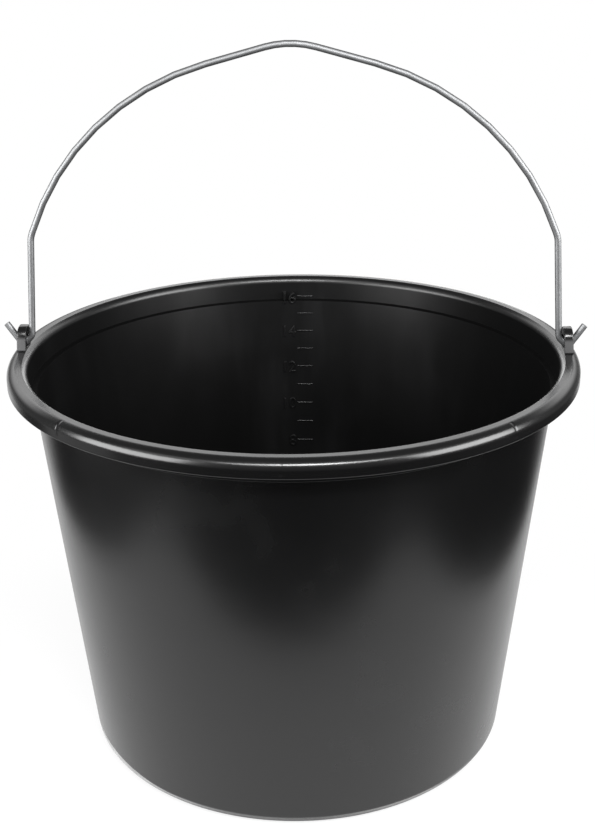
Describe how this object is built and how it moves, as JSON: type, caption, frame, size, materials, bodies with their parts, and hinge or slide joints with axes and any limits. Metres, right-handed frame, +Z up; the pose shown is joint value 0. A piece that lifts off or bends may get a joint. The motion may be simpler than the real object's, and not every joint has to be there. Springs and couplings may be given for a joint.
{
  "type": "builders bucket",
  "caption": "Round tapered plastic bucket with a turned-down rim, upright ears and a free-swinging peaked wire bail, for mixing, carrying and measuring building materials.",
  "frame": {"origin": "middle of the base, on the ground that the bucket stands on", "axes": "+Z up along the tub's axis, +X through one ear along the bail's hinge line, -Y to the front with the litre scale on the inside of the back wall at +Y"},
  "size_m": [0.3602, 0.351, 0.4413],
  "materials": {
    "black_plastic": "injection-moulded polyethylene, black, half gloss",
    "galvanised_wire": "bright galvanised drawn wire"
  },
  "bodies": {
    "tub": {"tub": "black_plastic"},
    "bail": {"wire_bail": "galvanised_wire"}
  },
  "joints": [
    {"name": "bail_swing", "type": "hinge", "parent": "tub", "child": "bail", "pos_m": [0, 0, 0.26044], "axis": [1, 0, 0], "range_deg": [-91, 91]}
  ]
}
